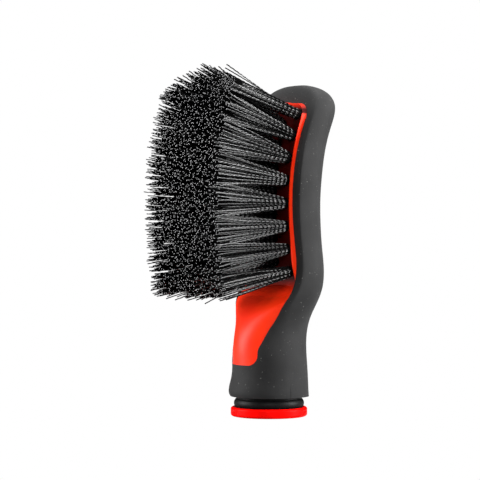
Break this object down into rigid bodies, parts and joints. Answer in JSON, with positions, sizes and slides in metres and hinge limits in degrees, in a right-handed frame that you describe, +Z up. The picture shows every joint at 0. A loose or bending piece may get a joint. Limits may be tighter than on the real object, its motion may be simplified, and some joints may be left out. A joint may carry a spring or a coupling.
{
  "type": "wheel brush",
  "caption": "Short hand-held wheel brush: red moulded core with a bulging tuft plate, black soft grip over it, black crimped bristles fanned out in tufts, and a red end cap.",
  "frame": {"origin": "centre of the end cap's flat bottom face, on the handle's axis", "axes": "+Z up the handle, -Y the way the bristles point, +X to one side of the tuft plate"},
  "size_m": [0.0748, 0.0887, 0.1847],
  "materials": {
    "red_plastic": "satin",
    "soft_grip": "matte",
    "ring_rubber": "satin",
    "bristle": "satin",
    "anchor_wire": "satin"
  },
  "bodies": {
    "root": {"core_body": "red_plastic", "end_cap": "red_plastic", "grip_overmould": "soft_grip", "grip_ring": "ring_rubber", "tuft_1_1": "bristle", "tuft_1_2": "bristle", "tuft_1_3": "bristle", "tuft_1_4": "bristle", "tuft_1_5": "bristle", "tuft_1_6": "bristle", "tuft_1_7": "bristle", "tuft_1_8": "bristle", "tuft_2_1": "bristle", "tuft_2_2": "bristle", "tuft_2_3": "bristle", "tuft_2_4": "bristle", "tuft_2_5": "bristle", "tuft_2_6": "bristle", "tuft_2_7": "bristle", "tuft_3_1": "bristle", "tuft_3_2": "bristle", "tuft_3_3": "bristle", "tuft_3_4": "bristle", "tuft_3_5": "bristle", "tuft_3_6": "bristle", "tuft_3_7": "bristle", "tuft_3_8": "bristle", "tuft_4_1": "bristle", "tuft_4_2": "bristle", "tuft_4_3": "bristle", "tuft_4_4": "bristle", "tuft_4_5": "bristle", "tuft_4_6": "bristle", "tuft_4_7": "bristle", "tuft_5_1": "bristle", "tuft_5_2": "bristle", "tuft_5_3": "bristle", "tuft_5_4": "bristle", "tuft_5_5": "bristle", "tuft_5_6": "bristle", "tuft_5_7": "bristle", "tuft_5_8": "bristle", "tuft_anchors": "anchor_wire"}
  },
  "joints": []
}
